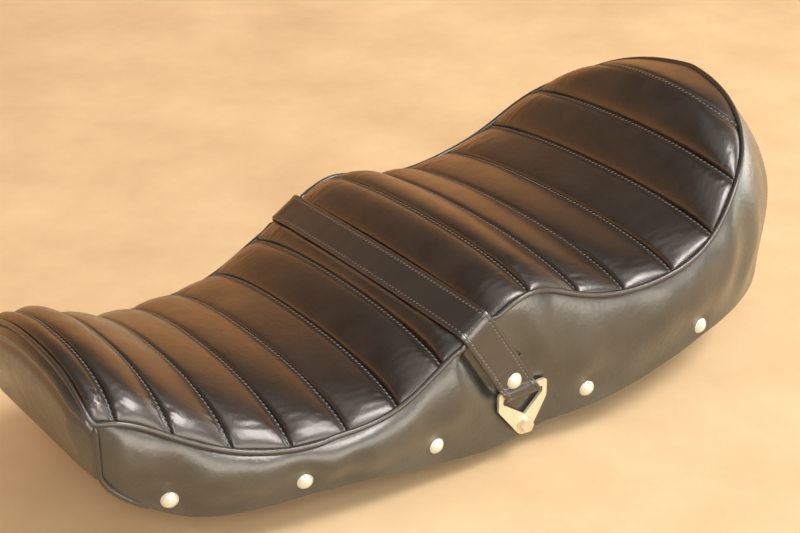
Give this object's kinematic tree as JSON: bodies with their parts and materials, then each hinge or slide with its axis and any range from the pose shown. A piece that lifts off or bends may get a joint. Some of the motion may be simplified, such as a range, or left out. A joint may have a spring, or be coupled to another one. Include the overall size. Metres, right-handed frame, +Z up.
{
  "type": "motorcycle dual seat",
  "caption": "Hinged dual motorcycle seat with a channelled leather top, studded skirt, passenger strap on steel plates, pressed pan and hinge brackets.",
  "frame": {"origin": "middle of the four bolt holes of the hinge brackets, on the underside of their feet", "axes": "+X forward, +Y to the left side, +Z up"},
  "size_m": [0.6942, 0.3094, 0.208],
  "materials": {
    "top_leather": "polished black leather",
    "side_leather": "satin black leather, greyed by wear",
    "piping": "gloss black piping",
    "strap_leather": "satin black leather",
    "black_steel": "black paint",
    "plated_steel": "zinc plated",
    "bright_steel": "nickel plated",
    "buffer_rubber": "moulded rubber"
  },
  "bodies": {
    "hinge_brackets": {"hinge_bracket_front": "black_steel", "hinge_bracket_rear": "black_steel", "hinge_pin_front": "bright_steel", "hinge_pin_rear": "bright_steel"},
    "seat": {"cushion": "top_leather", "skirt": "side_leather", "welt": "piping", "seat_pan": "black_steel", "front_binding": "piping", "strap": "strap_leather", "strap_plate_left": "plated_steel", "strap_plate_right": "plated_steel", "strap_bolt_left": "bright_steel", "strap_bolt_right": "bright_steel", "strap_stud_left": "bright_steel", "strap_stud_right": "bright_steel", "skirt_studs_left": "bright_steel", "skirt_studs_right": "bright_steel", "hinge_arm_front": "black_steel", "hinge_arm_rear": "black_steel", "latch_striker": "bright_steel", "bumpers_front": "buffer_rubber", "bumpers_rear": "buffer_rubber"}
  },
  "joints": [
    {"name": "seat_hinge", "type": "hinge", "parent": "hinge_brackets", "child": "seat", "pos_m": [0, -0.036, 0.014], "axis": [1, 0, 0], "range_deg": [0, 80]}
  ]
}
